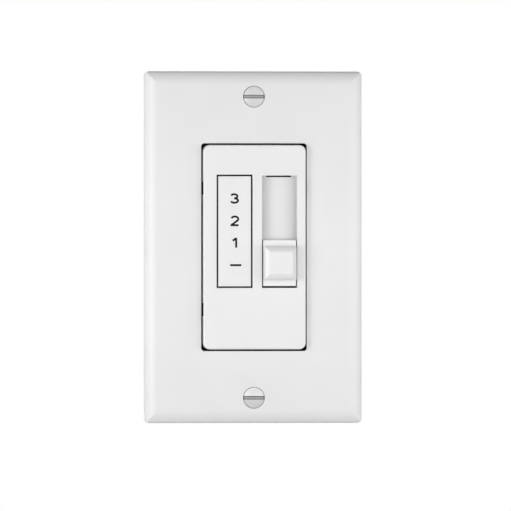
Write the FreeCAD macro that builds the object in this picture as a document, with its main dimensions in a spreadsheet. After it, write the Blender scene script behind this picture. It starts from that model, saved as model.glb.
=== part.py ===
import FreeCAD, Part
import math
import os
from types import SimpleNamespace

import Sketcher

# Slide control for a ceiling fan, three speeds and off, for a single-gang wall box.
# Millimetres, +Z up, the front faces -Y. The origin is the middle of the two box screw holes on the
# back face of the mounting yoke, which is also the plane of the wall. Depths in the names below are
# measured from that plane towards the front, so a negative depth lies inside the wall box.

SIZES = {
    # Screw pattern of the wall box and the wall plate
    "box_screw_spacing": 83.34,
    "box_screw_hole": 4.4,
    "plate_screw_offset": 6.75,
    # Wall plate
    "plate_side_margin": 18.0,
    "plate_end_margin": 8.13,
    "plate_depth": 5.8,
    "plate_edge_radius": 5.6,
    "plate_lip_radius": 1.4,
    "plate_corner_radius": 1.6,
    "plate_rim": 2.2,
    "plate_skin": 2.2,
    "plate_rib": 1.2,
    "plate_rib_spacing": 40.0,
    "plate_boss_diameter": 9.6,
    "plate_boss_gap": 0.3,
    "opening_gap": 0.57,
    "opening_corner_radius": 1.0,
    "collar_wall": 1.4,
    "collar_gap": 0.5,
    # Wall plate screws, oval head
    "plate_screw_shank": 3.45,
    "plate_screw_head": 6.9,
    "plate_screw_dome": 1.0,
    "plate_screw_length": 12.7,
    "plate_screw_slot": 1.15,
    "plate_screw_slot_depth": 1.3,
    "plate_screw_gap": 0.1,
    "screw_slot": 0.9,
    "screw_gap": 0.15,
    "thread_gap": 0.1,
    "countersink_angle": 82.0,
    # Bezel
    "bezel_left_margin": 4.22,
    "insert_opening_width": 11.53,
    "insert_opening_height": 36.37,
    "center_bar": 3.12,
    "slot_width": 11.33,
    "slot_height": 36.1,
    "bezel_right_margin": 2.79,
    "bezel_top_margin": 9.81,
    "bezel_bottom_margin": 19.77,
    "bezel_proud": 2.4,
    "bezel_corner_radius": 2.1,
    "bezel_edge_radius": 0.5,
    "bezel_opening_edge": 0.2,
    "bezel_wall": 1.3,
    "bezel_skin": 1.6,
    "snap_width": 4.2,
    "snap_top_inset": 13.79,
    "snap_bottom_inset": 12.84,
    "snap_hook": 0.6,
    "snap_reach": 1.8,
    "snap_gap": 0.1,
    "notch_depth": 0.5,
    "notch_start": 0.9,
    "notch_foot": 0.6,
    # Scale insert
    "insert_gap": 0.46,
    "insert_flange": 0.9,
    "insert_edge": 0.2,
    # Slider: knob, deck and carriage
    "slot_depth": 3.2,
    "deck_thickness": 1.2,
    "deck_gap": 0.1,
    "deck_post": 5.0,
    "deck_end_slit": 0.4,
    "deck_slit_width": 8.1,
    "deck_slit_cover": 0.6,
    "slide_gap": 0.1,
    "knob_length": 14.86,
    "knob_gap": 0.36,
    "knob_end_gap": 0.55,
    "knob_ledge": 2.1,
    "knob_ledge_drop": 0.1,
    "knob_grip_height": 4.5,
    "knob_side_ledge": 0.15,
    "knob_crown_rise": 1.6,
    "knob_crown_radius": 4.7,
    "knob_side_run": 1.45,
    "knob_end_run": 1.85,
    "knob_edge_radius": 0.25,
    "knob_rim_radius": 0.25,
    "knob_wall": 1.3,
    "flange_gap": 0.21,
    "leg_thickness": 0.8,
    "leg_width": 4.0,
    "leg_gap": 0.1,
    "leg_tip_gap": 0.3,
    "leg_barb": 0.6,
    "carriage_gap": 0.15,
    "carriage_length": 18.0,
    "carriage_ledge": 1.0,
    "stem_width": 5.8,
    "stem_length": 7.8,
    "stem_reach": 3.0,
    "stem_peg": 1.4,
    "stem_peg_reach": 0.9,
    "window_gap": 0.7,
    # Detent
    "detent_depth": 0.7,
    "detent_spring_thickness": 0.3,
    "detent_spring_width": 4.2,
    "detent_spring_length": 13.6,
    "detent_spring_foot": 2.0,
    "detent_clearance": 0.15,
    "spring_floor": 0.7,
    "spring_gap": 0.25,
    # Wiper
    "wiper_thickness": 0.25,
    "wiper_width": 5.2,
    "wiper_base": 3.4,
    "wiper_reach": 3.2,
    "wiper_curl": 0.9,
    "wiper_split": 0.8,
    "wiper_gap": 0.05,
    # Mounting yoke
    "yoke_thickness": 1.3,
    "yoke_border": 1.16,
    "yoke_corner_radius": 2.5,
    "strap_width": 19.0,
    "strap_gap": 1.5,
    "ear_width": 36.0,
    "ear_height": 8.8,
    "ear_slit": 1.0,
    "ear_neck": 1.6,
    # Ground screw
    "ground_x": -14.0,
    "ground_drop": 3.36,
    "ground_tab": 10.0,
    "ground_shank": 4.7,
    "ground_head": 7.9,
    "ground_head_height": 2.6,
    "ground_tip": 0.2,
    # Housing
    "cavity_margin": 3.355,
    "housing_inset": 1.84,
    "housing_wall": 1.8,
    "housing_back": 2.0,
    "housing_corner_radius": 3.0,
    "housing_back_edge": 1.2,
    "housing_panel_inset": 4.5,
    "housing_panel_depth": 0.6,
    "capacitor_clearance": 1.9,
    # Tabs of the yoke that snap over lugs on the housing
    "tab_height": 8.0,
    "tab_spacing": 42.0,
    "tab_reach": 11.0,
    "tab_window_height": 4.0,
    "tab_bar": 2.0,
    "tab_gap": 0.15,
    "tab_bend_radius": 1.1,
    "lug_length": 3.3,
    "lug_rise": 1.1,
    # Terminals
    "terminal_block_wall": 1.8,
    "terminal_block_depth": 7.75,
    "bay_height": 10.0,
    "bay_barrier": 3.6,
    "bay_gap": 0.7,
    "terminal_thickness": 1.2,
    "terminal_depth": 8.6,
    "terminal_edge": 1.0,
    "terminal_screw_shank": 3.45,
    "terminal_screw_head": 7.2,
    "terminal_screw_head_height": 2.2,
    "terminal_screw_lift": 1.4,
    "terminal_screw_slot": 1.1,
    "terminal_tab_width": 4.0,
    "terminal_tab_thickness": 0.8,
    "terminal_tab_lap": 1.8,
    # Contact board and what it carries
    "board_depth": 6.0,
    "board_thickness": 1.6,
    "board_gap": 0.3,
    "track_thickness": 0.15,
    "track_width": 2.2,
    "track_pad_length": 4.6,
    "board_ledge": 3.0,
    "board_catch": 0.9,
    "board_catch_length": 1.6,
    "board_catch_width": 5.0,
    "capacitor_height": 15.5,
    "capacitor_edge": 0.6,
    "capacitor_margin": 2.4,
    "capacitor_space": 1.8,
    "large_capacitor_width": 15.0,
    "large_capacitor_length": 31.5,
    "small_capacitor_width": 11.0,
    "small_capacitor_length": 26.5,
    "pin_width": 0.7,
    "pin_gap": 0.1,
    "pin_inset": 2.0,
    "pin_reach": 0.9,
    "resistor_diameter": 2.6,
    "resistor_length": 6.6,
    "resistor_pitch": 10.0,
    "resistor_space": 2.4,
}

SPEEDS = 3
HEX_ANGLE = 60
VECTOR = FreeCAD.Vector

doc = FreeCAD.newDocument("FanSpeedControl")
sheet = doc.addObject("Spreadsheet::Sheet", "Sizes")
for row, (alias, number) in enumerate(SIZES.items(), start=1):
    sheet.set(f"A{row}", str(number))
    sheet.setAlias(f"A{row}", alias)
doc.recompute()


class Size:
    """A length of the model: its number, and the spreadsheet expression that gives it."""

    def __init__(self, value, text):
        self.value = value
        self.text = text

    def __add__(self, other):
        other = as_size(other)
        return Size(self.value + other.value, f"({self.text} + {other.text})")

    def __sub__(self, other):
        other = as_size(other)
        return Size(self.value - other.value, f"({self.text} - {other.text})")

    def __mul__(self, other):
        other = as_size(other)
        return Size(self.value * other.value, f"({self.text} * {other.text})")

    def __truediv__(self, other):
        other = as_size(other)
        return Size(self.value / other.value, f"({self.text} / {other.text})")

    def __radd__(self, other):
        return as_size(other) + self

    def __rsub__(self, other):
        return as_size(other) - self

    def __rmul__(self, other):
        return as_size(other) * self

    def __neg__(self):
        return Size(-self.value, f"(-1 * {self.text})")


def as_size(item):
    if isinstance(item, Size):
        return item
    return Size(float(item), repr(float(item)))


def tangent(angle):
    """Tangent of an angle kept in the sheet as a number of degrees."""
    return Size(math.tan(math.radians(angle.value)), f"tan({angle.text} * 1 deg)")


s = SimpleNamespace(**{alias: Size(number, f"Sizes.{alias}") for alias, number in SIZES.items()})


# Places that several pieces share

bezel_width = (s.bezel_left_margin + s.insert_opening_width + s.center_bar + s.slot_width
               + s.bezel_right_margin)
bezel_height = s.bezel_bottom_margin + s.slot_height + s.bezel_top_margin
bezel_face = s.plate_depth + s.bezel_proud
bezel_back = bezel_face - s.bezel_skin
bezel_inner_x = bezel_width / 2 - s.bezel_wall
bezel_inner_z = bezel_height / 2 - s.bezel_wall

insert_left = s.bezel_left_margin - bezel_width / 2
insert_right = insert_left + s.insert_opening_width
slot_left = insert_right + s.center_bar
slot_right = slot_left + s.slot_width
slot_x = slot_left + s.slot_width / 2
slot_bottom = s.bezel_bottom_margin - bezel_height / 2
slot_top = slot_bottom + s.slot_height

plate_half_width = bezel_width / 2 + s.opening_gap + s.plate_side_margin
plate_screw_z = s.box_screw_spacing / 2 + s.plate_screw_offset
plate_half_height = plate_screw_z + s.plate_end_margin

deck_front = bezel_face - s.slot_depth
deck_back = deck_front - s.deck_thickness
knob_bottom = slot_bottom + s.knob_end_gap
knob_top = knob_bottom + s.knob_length
knob_z = knob_bottom + s.knob_length / 2
knob_travel = s.slot_height - s.knob_length - 2 * s.knob_end_gap
detent_pitch = knob_travel / SPEEDS
# The crest of the detent spring is an arc over a 3-4-5 chord, as high as it stands in its groove.
CHORD_HALF, CHORD_RISE = 0.8, 0.4
# The plate's edge bends away over the same triangle's smaller angle, then a tighter lip meets the side.
EDGE_SINE, EDGE_COSINE = 0.6, 0.8
# Across its slanting stretch the wiper's leaf takes up half as much again as its thickness.
SLANT_SHARE = 1.5
detent_radius = (s.detent_depth - s.detent_clearance) / CHORD_RISE
flange_half = s.slot_width / 2 + s.bezel_right_margin - s.bezel_wall - s.flange_gap
carriage_half = flange_half - s.leg_thickness - s.leg_gap
carriage_back = s.yoke_thickness + s.carriage_gap
carriage_front = deck_back - s.carriage_gap
ledge_depth = carriage_back + s.carriage_ledge

cavity_half_width = bezel_width / 2 + s.snap_hook + s.cavity_margin
cavity_half_height = bezel_height / 2 - s.housing_inset - s.housing_wall
housing_half_width = cavity_half_width + s.housing_wall
housing_half_height = cavity_half_height + s.housing_wall
board_front = -s.board_depth
board_back = board_front - s.board_thickness
cavity_floor = board_back - s.capacitor_height - s.capacitor_clearance
housing_back = cavity_floor - s.housing_back
tab_z = s.tab_spacing / 2
window_back = s.tab_bar - s.tab_reach
window_front = window_back + s.lug_length + 2 * s.tab_gap

block_face = housing_half_width - s.terminal_block_depth
bay_floor = block_face + s.terminal_block_wall
bay_z = (s.bay_barrier + s.bay_height) / 2
block_half_height = s.bay_barrier / 2 + s.bay_height + s.housing_wall
terminal_front = board_front + s.terminal_tab_thickness + s.terminal_edge
terminal_depth = terminal_front - s.terminal_depth / 2

board_left = s.board_gap - cavity_half_width
board_right = block_face - s.board_gap
board_half_height = cavity_half_height - s.board_gap
track_front = board_front + s.track_thickness
ground_z = -(bezel_height / 2 + s.ground_drop)


# Helpers for sketches and features

def new_body(label):
    body = doc.addObject("PartDesign::Body", label)
    body.Label = label
    return body


def bind(item, path, length):
    item.setExpression(path, as_size(length).text)


class Profile:
    """A sketch on one of its body's planes, whose corners are all bound to the sheet.

    On XZ_Plane the coordinates are x, z and the offset is the depth towards the front. On XY_Plane
    they are x, y with the offset in z, and on YZ_Plane they are y, z with the offset in x.
    """

    def __init__(self, body, plane, offset=0):
        self.body = body
        self.sketch = body.newObject("Sketcher::SketchObject", "Profile")
        planes = {item.Role: item for item in body.Origin.OriginFeatures}
        self.sketch.AttachmentSupport = [(planes[plane], "")]
        self.sketch.MapMode = "FlatFace"
        bind(self.sketch, "AttachmentOffset.Base.z", offset)

    def place(self, edge, end, point):
        """Ties one end of an edge to its two coordinates."""
        for kind, axis, length in (("DistanceX", -2, point[0]), ("DistanceY", -1, point[1])):
            length = as_size(length)
            if length.text == "0.0":
                self.sketch.addConstraint(Sketcher.Constraint("PointOnObject", edge, end, axis))
                continue
            rule = Sketcher.Constraint(kind, -1, 1, edge, end, length.value)
            bind(self.sketch, f"Constraints[{self.sketch.addConstraint(rule)}]", length)

    def outline(self, corners):
        """A closed outline. A corner is (u, v), or (u, v, radius, turn) where an arc leaves it:
        turn is 1 for an arc that turns left and -1 for one that turns right."""
        points = [VECTOR(as_size(c[0]).value, as_size(c[1]).value, 0) for c in corners]
        spans = []
        for index, corner in enumerate(corners):
            start, end = points[index], points[(index + 1) % len(points)]
            if len(corner) == 2:
                edge = self.sketch.addGeometry(Part.LineSegment(start, end), False)
                spans.append((edge, 1, 2))
                continue
            radius, turn = as_size(corner[2]), corner[3]
            half = (end - start) * 0.5
            rise = math.sqrt(max(radius.value ** 2 - half.Length ** 2, 0.0))
            center = start + half + VECTOR(-half.y, half.x, 0).normalize() * rise * turn
            circle = Part.Circle(center, VECTOR(0, 0, 1), radius.value)
            angles = [math.atan2(p.y - center.y, p.x - center.x) for p in (start, end)][::turn]
            edge = self.sketch.addGeometry(Part.ArcOfCircle(circle, *angles), False)
            spans.append((edge, 1, 2) if turn > 0 else (edge, 2, 1))
            rule = self.sketch.addConstraint(Sketcher.Constraint("Radius", edge, radius.value))
            bind(self.sketch, f"Constraints[{rule}]", radius)
        for index, (edge, start, end) in enumerate(spans):
            following = spans[(index + 1) % len(spans)]
            rule = Sketcher.Constraint("Coincident", edge, end, following[0], following[1])
            self.sketch.addConstraint(rule)
            self.place(edge, start, corners[index])
        return self

    def rectangle(self, left, bottom, right, top, corner=None):
        if corner is None:
            return self.outline([(left, bottom), (right, bottom), (right, top), (left, top)])
        return self.outline([
            (left + corner, bottom), (right - corner, bottom, corner, 1),
            (right, bottom + corner), (right, top - corner, corner, 1),
            (right - corner, top), (left + corner, top, corner, 1),
            (left, top - corner), (left, bottom + corner, corner, 1),
        ])

    def square(self, u, v, width):
        return self.rectangle(u - width / 2, v - width / 2, u + width / 2, v + width / 2)

    def circle(self, u, v, diameter):
        u, v, diameter = as_size(u), as_size(v), as_size(diameter)
        round_edge = Part.Circle(VECTOR(u.value, v.value, 0), VECTOR(0, 0, 1), diameter.value / 2)
        edge = self.sketch.addGeometry(round_edge, False)
        self.place(edge, 3, (u, v))
        rule = self.sketch.addConstraint(Sketcher.Constraint("Diameter", edge, diameter.value))
        bind(self.sketch, f"Constraints[{rule}]", diameter)
        return self

    def axis(self, start, end):
        """A construction line to revolve about."""
        points = [VECTOR(*(as_size(item).value for item in point), 0) for point in (start, end)]
        edge = self.sketch.addGeometry(Part.LineSegment(*points), True)
        self.place(edge, 1, start)
        self.place(edge, 2, end)
        return self


def finish_feature(body, feature, grows):
    """Recomputes the body and stops if the feature left its volume as it was."""
    before = 0.0 if body.Shape.isNull() else body.Shape.Volume
    body.Tip = feature
    doc.recompute()
    change = body.Shape.Volume - before
    if (change if grows else -change) < 1e-6:
        raise RuntimeError(f"{feature.Label} of {body.Label} changes nothing")
    return feature


def extrude(body, kind, profile, length, symmetric):
    feature = body.newObject(f"PartDesign::{kind}", kind)
    feature.Profile = profile.sketch
    profile.sketch.Visibility = False
    if symmetric:
        feature.SideType = "Symmetric"
    bind(feature, "Length", length)
    return finish_feature(body, feature, kind == "Pad")


def pad(profile, length, symmetric=False):
    """Adds the profile, from its plane towards the plane's own side."""
    return extrude(profile.body, "Pad", profile, length, symmetric)


def pocket(profile, length, symmetric=False):
    """Cuts the profile, from its plane towards the other side: the back, for an XZ_Plane sketch."""
    return extrude(profile.body, "Pocket", profile, length, symmetric)


def revolve(profile, cut=False):
    body = profile.body
    feature = body.newObject("PartDesign::Groove" if cut else "PartDesign::Revolution", "Turned")
    feature.Profile = profile.sketch
    profile.sketch.Visibility = False
    feature.ReferenceAxis = (profile.sketch, ["Axis0"])
    feature.Angle = 360
    return finish_feature(body, feature, not cut)


def dress_edges(body, kind, size_name, length, chosen):
    """Rounds or bevels the edges of the body that the test picks."""
    names = [f"Edge{number}" for number, edge in enumerate(body.Shape.Edges, start=1) if chosen(edge)]
    if not names:
        raise RuntimeError(f"no edge of {body.Label} to dress")
    base = body.Tip
    feature = body.newObject(f"PartDesign::{kind}", kind)
    feature.Base = (base, names)
    bind(feature, size_name, length)
    return finish_feature(body, feature, False)


def fillet(body, radius, chosen):
    return dress_edges(body, "Fillet", "Radius", radius, chosen)


def chamfer(body, length, chosen):
    return dress_edges(body, "Chamfer", "Size", length, chosen)


def at_depth(depth):
    """A test for edges that lie in one plane parallel to the wall."""
    y = -as_size(depth).value
    return lambda edge: max(abs(edge.BoundBox.YMin - y), abs(edge.BoundBox.YMax - y)) < 1e-4


def within(left, bottom, right, top, margin=0.05):
    """A test for edges whose box lies in a window of x and z."""
    limits = [as_size(item).value for item in (left, bottom, right, top)]

    def test(edge):
        box = edge.BoundBox
        return (box.XMin > limits[0] - margin and box.ZMin > limits[1] - margin
                and box.XMax < limits[2] + margin and box.ZMax < limits[3] + margin)
    return test


def beyond_x(limit):
    """A test for edges that lie as far out as limit, left or right."""
    def test(edge):
        return min(abs(vertex.X) for vertex in edge.Vertexes) > as_size(limit).value - 1e-4
    return test


def both(first, second):
    return lambda edge: first(edge) and second(edge)


def mirror_image(source, normal):
    image = doc.addObject("Part::Mirroring", "Mirror")
    image.Source = source
    image.Normal = normal
    return image


def group(label, items):
    compound = doc.addObject("Part::Compound", label)
    compound.Label = label
    compound.Links = items
    doc.recompute()
    return compound


ALONG_Z = VECTOR(0, 0, 1)


# Pieces in view

def make_wall_plate():
    body = new_body("wall_plate")
    width, height, radius = plate_half_width, plate_half_height, s.plate_corner_radius
    pad(Profile(body, "XZ_Plane").rectangle(-width, -height, width, height), s.plate_depth)
    # The rounded edge runs along all four sides and mitres at the corners, whose plan is rounded after.
    bend, lip, face = s.plate_edge_radius, s.plate_lip_radius, -s.plate_depth
    lip_run = (1 - EDGE_SINE) * lip
    lip_start = face + (1 - EDGE_COSINE) * bend
    lip_end = lip_start + EDGE_COSINE * lip
    bend_run = lip_run + EDGE_SINE * bend
    flanks, ends = Profile(body, "XY_Plane"), Profile(body, "YZ_Plane")
    for side in (1, -1):
        x, z = side * width, side * height
        inwards, past = -side * bend_run, side * radius
        flanks.outline([
            (x + inwards, face, bend, side), (x - side * lip_run, lip_start, lip, side),
            (x, lip_end), (x + past, lip_end), (x + past, face),
        ])
        ends.outline([
            (face, z + inwards, bend, -side), (lip_start, z - side * lip_run, lip, -side),
            (lip_end, z), (lip_end, z + past), (face, z + past),
        ])
    pocket(flanks, 2 * (height + radius), symmetric=True)
    pocket(ends, 2 * (width + radius), symmetric=True)
    trim = Profile(body, "XZ_Plane", s.plate_depth)
    trim.rectangle(-width - radius, -height - radius, width + radius, height + radius)
    trim.rectangle(-width, -height, width, height, radius)
    pocket(trim, s.plate_depth)

    ceiling = s.plate_depth - s.plate_skin
    inner_x, inner_z = width - s.plate_rim, height - s.plate_rim
    hollow = Profile(body, "XZ_Plane", ceiling)
    pocket(hollow.rectangle(-inner_x, -inner_z, inner_x, inner_z, radius), ceiling)

    open_x, open_z = bezel_width / 2 + s.opening_gap, bezel_height / 2 + s.opening_gap
    collar_x, collar_z = open_x + s.collar_wall, open_z + s.collar_wall
    collar_back = s.yoke_thickness + s.collar_gap
    collar = Profile(body, "XZ_Plane", collar_back)
    pad(collar.rectangle(-collar_x, -collar_z, collar_x, collar_z, s.opening_corner_radius),
        ceiling - collar_back)
    rib_z, half_rib = s.plate_rib_spacing / 2, s.plate_rib / 2
    ribs = Profile(body, "XZ_Plane", collar_back)
    for z in (rib_z, -rib_z):
        ribs.rectangle(-inner_x, z - half_rib, -collar_x, z + half_rib)
        ribs.rectangle(collar_x, z - half_rib, inner_x, z + half_rib)
    pad(ribs, ceiling - collar_back)
    boss_back = s.yoke_thickness + s.plate_boss_gap
    bosses = Profile(body, "XZ_Plane", boss_back)
    for z in (plate_screw_z, -plate_screw_z):
        bosses.circle(0, z, s.plate_boss_diameter)
    pad(bosses, ceiling - boss_back)

    opening = Profile(body, "XZ_Plane", s.plate_depth)
    opening.rectangle(-open_x, -open_z, open_x, open_z, s.opening_corner_radius)
    pocket(opening, s.plate_depth)
    bore, mouth = s.plate_screw_shank / 2 + s.screw_gap, s.plate_screw_head / 2 + s.plate_screw_gap
    sink = (mouth - bore) / tangent(s.countersink_angle / 2)
    for z in (plate_screw_z, -plate_screw_z):
        hole = Profile(body, "YZ_Plane").axis((0, z), (-s.plate_depth, z))
        hole.outline([(0, z), (0, z + bore), (sink - s.plate_depth, z + bore),
                      (-s.plate_depth, z + mouth), (-s.plate_depth, z)])
        revolve(hole, cut=True)
    return body


def make_wall_plate_screws():
    body = new_body("upper_plate_screw")
    z, rim, shank = plate_screw_z, s.plate_screw_head / 2, s.plate_screw_shank / 2
    face = -s.plate_depth
    cone = (rim - shank) / tangent(s.countersink_angle / 2)
    tip = face + s.plate_screw_length
    dome = (rim * rim + s.plate_screw_dome * s.plate_screw_dome) / (2 * s.plate_screw_dome)
    turned = Profile(body, "YZ_Plane").axis((0, z), (face, z))
    turned.outline([
        (face - s.plate_screw_dome, z), (tip, z), (tip, z + shank), (face + cone, z + shank),
        (face, z + rim, dome, 1),
    ])
    revolve(turned)
    slot = Profile(body, "XZ_Plane", s.plate_depth + s.plate_screw_dome)
    slot.rectangle(-2 * rim, z - s.plate_screw_slot / 2, 2 * rim, z + s.plate_screw_slot / 2)
    pocket(slot, s.plate_screw_slot_depth)
    return group("wall_plate_screws", [body, mirror_image(body, ALONG_Z)])


def snap_heights():
    upper = bezel_height / 2 - s.snap_top_inset
    lower = s.snap_bottom_inset - bezel_height / 2
    return upper, lower


def make_bezel():
    body = new_body("bezel")
    half_x, half_z = bezel_width / 2, bezel_height / 2
    shell = Profile(body, "XZ_Plane", s.yoke_thickness)
    pad(shell.rectangle(-half_x, -half_z, half_x, half_z, s.bezel_corner_radius),
        bezel_face - s.yoke_thickness)
    fillet(body, s.bezel_edge_radius, at_depth(bezel_face))
    hollow = Profile(body, "XZ_Plane", bezel_back)
    pocket(hollow.rectangle(-bezel_inner_x, -bezel_inner_z, bezel_inner_x, bezel_inner_z),
           bezel_back - s.yoke_thickness)
    openings = Profile(body, "XZ_Plane", bezel_face)
    openings.rectangle(insert_left, slot_bottom, insert_right, slot_bottom + s.insert_opening_height)
    openings.rectangle(slot_left, slot_bottom, slot_right, slot_top)
    pocket(openings, s.bezel_skin)
    opening_top = slot_bottom + s.insert_opening_height
    fillet(body, s.bezel_opening_edge,
           both(at_depth(bezel_face), within(insert_left, slot_bottom, slot_right, opening_top)))

    # Each flank has two snap legs that pass through the yoke and hook behind it, with a notch above.
    for z in snap_heights():
        legs = Profile(body, "XY_Plane", z)
        notches = Profile(body, "XY_Plane", z)
        for side in (1, -1):
            inner, outer = side * bezel_inner_x, side * half_x
            barb = outer + side * s.snap_hook
            legs.outline([
                (inner, -s.yoke_thickness), (outer, -s.yoke_thickness), (outer, s.snap_gap),
                (barb, s.snap_gap), (outer, s.snap_reach), (inner, s.snap_reach),
            ][::side])
            cut_from, cut_to = outer - side * s.notch_depth, outer + side * s.notch_depth
            notch_front, notch_back = s.notch_start - bezel_face, -s.yoke_thickness - s.notch_foot
            notches.outline([
                (cut_from, notch_front), (cut_to, notch_front), (cut_to, notch_back), (cut_from, notch_back),
            ][::side])
        pad(legs, s.snap_width, symmetric=True)
        pocket(notches, s.snap_width, symmetric=True)
    return body


def make_scale_insert():
    body = new_body("scale_insert")
    left, right = insert_left + s.insert_gap, insert_right - s.insert_gap
    bottom = slot_bottom + s.insert_gap
    top = slot_bottom + s.insert_opening_height - s.insert_gap
    flange = Profile(body, "XZ_Plane", deck_front)
    pad(flange.rectangle(insert_left - s.insert_flange, slot_bottom - s.insert_flange,
                         insert_right + s.insert_flange,
                         slot_bottom + s.insert_opening_height + s.insert_flange),
        bezel_back - deck_front)
    panel = Profile(body, "XZ_Plane", bezel_back)
    pad(panel.rectangle(left, bottom, right, top), s.bezel_skin)
    fillet(body, s.insert_edge, at_depth(bezel_face))
    return body


def make_slider_knob():
    body = new_body("slider_knob")
    half = s.slot_width / 2 - s.knob_gap
    flange_back, flange_front = deck_front + s.slide_gap, bezel_back - s.slide_gap
    ledge = bezel_face - s.knob_ledge_drop
    crest = ledge + s.knob_grip_height
    grip_bottom, grip_top = knob_bottom + s.knob_ledge, knob_top - s.knob_ledge

    flange = Profile(body, "XZ_Plane", flange_back)
    pad(flange.rectangle(slot_x - flange_half, knob_bottom, slot_x + flange_half, knob_top),
        flange_front - flange_back)
    skirt = Profile(body, "XZ_Plane", flange_front)
    pad(skirt.rectangle(slot_x - half, knob_bottom, slot_x + half, knob_top), ledge - flange_front)
    # The grip stands upright on its ledge, and a bulging crown leans in on all four sides.
    crown, bulge = crest - s.knob_crown_rise, s.knob_crown_radius
    grip = Profile(body, "YZ_Plane", slot_x)
    grip.outline([
        (-ledge, grip_bottom), (-ledge, grip_top), (-crown, grip_top, bulge, 1),
        (-crest, grip_top - s.knob_end_run), (-crest, grip_bottom + s.knob_end_run, bulge, 1),
        (-crown, grip_bottom),
    ])
    pad(grip, 2 * half, symmetric=True)
    sides = Profile(body, "XY_Plane", knob_z)
    grip_half = half - s.knob_side_ledge
    for side in (1, -1):
        edge, beyond = slot_x + side * grip_half, slot_x + side * (half + s.knob_side_run)
        sides.outline([(edge, -ledge), (edge, -crown, bulge, -side), (edge - side * s.knob_side_run, -crest),
                       (beyond, -crest), (beyond, -ledge)])
    pocket(sides, s.knob_length, symmetric=True)
    fillet(body, s.knob_edge_radius, at_depth(crest))
    for z in (knob_bottom, knob_top):
        fillet(body, s.knob_rim_radius, both(at_depth(ledge), within(slot_x - half, z, slot_x + half, z)))
    core_x = grip_half - s.knob_side_run - s.knob_wall
    core_z = s.knob_length / 2 - s.knob_ledge - s.knob_end_run - s.knob_wall
    core = Profile(body, "XZ_Plane", crest - s.knob_wall)
    core.rectangle(slot_x - core_x, knob_z - core_z, slot_x + core_x, knob_z + core_z)
    pocket(core, crest - s.knob_wall - flange_back)

    # Two legs reach past the deck and clip under the ledges of the carriage.
    tip = s.yoke_thickness + s.leg_tip_gap
    catch = ledge_depth - s.leg_gap
    legs = Profile(body, "XY_Plane", knob_z)
    for side in (1, -1):
        outer = slot_x + side * flange_half
        inner = outer - side * s.leg_thickness
        barb = inner - side * s.leg_barb
        legs.outline([(outer, -flange_back), (inner, -flange_back), (inner, -catch), (barb, -catch),
                      (barb, -tip), (outer, -tip)][::side])
    pad(legs, s.leg_width, symmetric=True)
    return body


def make_slide_deck():
    body = new_body("slide_deck")
    half_x, half_z = bezel_inner_x - s.deck_gap, bezel_inner_z - s.deck_gap
    plate = Profile(body, "XZ_Plane", deck_back)
    pad(plate.rectangle(-half_x, -half_z, half_x, half_z), s.deck_thickness)
    # The legs of the knob run in a slit on the left and along a cut-away edge on the right.
    run_bottom = knob_z - s.leg_width / 2 - s.knob_gap
    run_top = knob_z + knob_travel + s.leg_width / 2 + s.knob_gap
    near, far = carriage_half, flange_half + s.leg_gap
    slits = Profile(body, "XZ_Plane", deck_front)
    slits.rectangle(slot_x - far, run_bottom, slot_x - near, run_top)
    slits.rectangle(slot_x + near, run_bottom, half_x + s.deck_gap, run_top)
    # At each end of the slot the floor stops short of the bezel.
    half_slit, cover = s.deck_slit_width / 2, s.deck_slit_cover
    slits.rectangle(slot_x - half_slit, slot_top - s.deck_end_slit, slot_x + half_slit, slot_top + cover)
    slits.rectangle(slot_left, slot_bottom - cover, slot_right, slot_bottom + s.knob_end_gap)
    pocket(slits, s.deck_thickness)
    # One groove for each position, in the hidden side of the floor.
    grooves = Profile(body, "YZ_Plane", slot_x)
    radius = detent_radius + s.detent_clearance
    for position in range(SPEEDS + 1):
        grooves.circle(radius - deck_back - s.detent_depth, knob_z + position * detent_pitch,
                       2 * radius)
    pocket(grooves, s.detent_spring_width + 2 * s.spring_gap, symmetric=True)
    posts = Profile(body, "XZ_Plane", s.yoke_thickness)
    inner_x, inner_z = half_x - s.deck_post, half_z - s.deck_post
    for bottom, top in ((-half_z, -inner_z), (inner_z, half_z)):
        posts.rectangle(-half_x, bottom, -inner_x, top)
        posts.rectangle(inner_x, bottom, half_x, top)
    posts.rectangle(-half_x, -s.deck_post / 2, -inner_x, s.deck_post / 2)
    pad(posts, deck_back - s.yoke_thickness)
    return body


# Slider mechanism behind the deck

def make_slide_carriage():
    body = new_body("slide_carriage")
    half_length = s.carriage_length / 2
    plate = Profile(body, "XZ_Plane", carriage_back)
    pad(plate.rectangle(slot_x - carriage_half, knob_z - half_length,
                        slot_x + carriage_half, knob_z + half_length),
        carriage_front - carriage_back)
    catch_half = s.leg_width / 2 + s.leg_gap
    catch_depth = s.leg_barb + s.leg_gap
    catches = Profile(body, "XZ_Plane", ledge_depth)
    for side in (1, -1):
        edges = (slot_x + side * (carriage_half - catch_depth), slot_x + side * carriage_half)
        catches.rectangle(edges[::side][0], knob_z - catch_half, edges[::side][1], knob_z + catch_half)
    pocket(catches, s.carriage_ledge)
    stem = Profile(body, "XZ_Plane", -s.stem_reach)
    pad(stem.rectangle(slot_x - s.stem_width / 2, knob_z - s.stem_length / 2,
                       slot_x + s.stem_width / 2, knob_z + s.stem_length / 2),
        s.stem_reach + carriage_back)
    seat_x = s.detent_spring_width / 2 + s.spring_gap
    seat_z = s.detent_spring_length / 2 + s.spring_gap
    seat = Profile(body, "XZ_Plane", carriage_front)
    seat.rectangle(slot_x - seat_x, knob_z - seat_z, slot_x + seat_x, knob_z + seat_z)
    pocket(seat, carriage_front - carriage_back - s.spring_floor)
    peg = Profile(body, "XZ_Plane", -s.stem_reach - s.stem_peg_reach)
    pad(peg.square(slot_x, knob_z - s.wiper_base / 2, s.stem_peg), s.stem_peg_reach)
    return body


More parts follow.
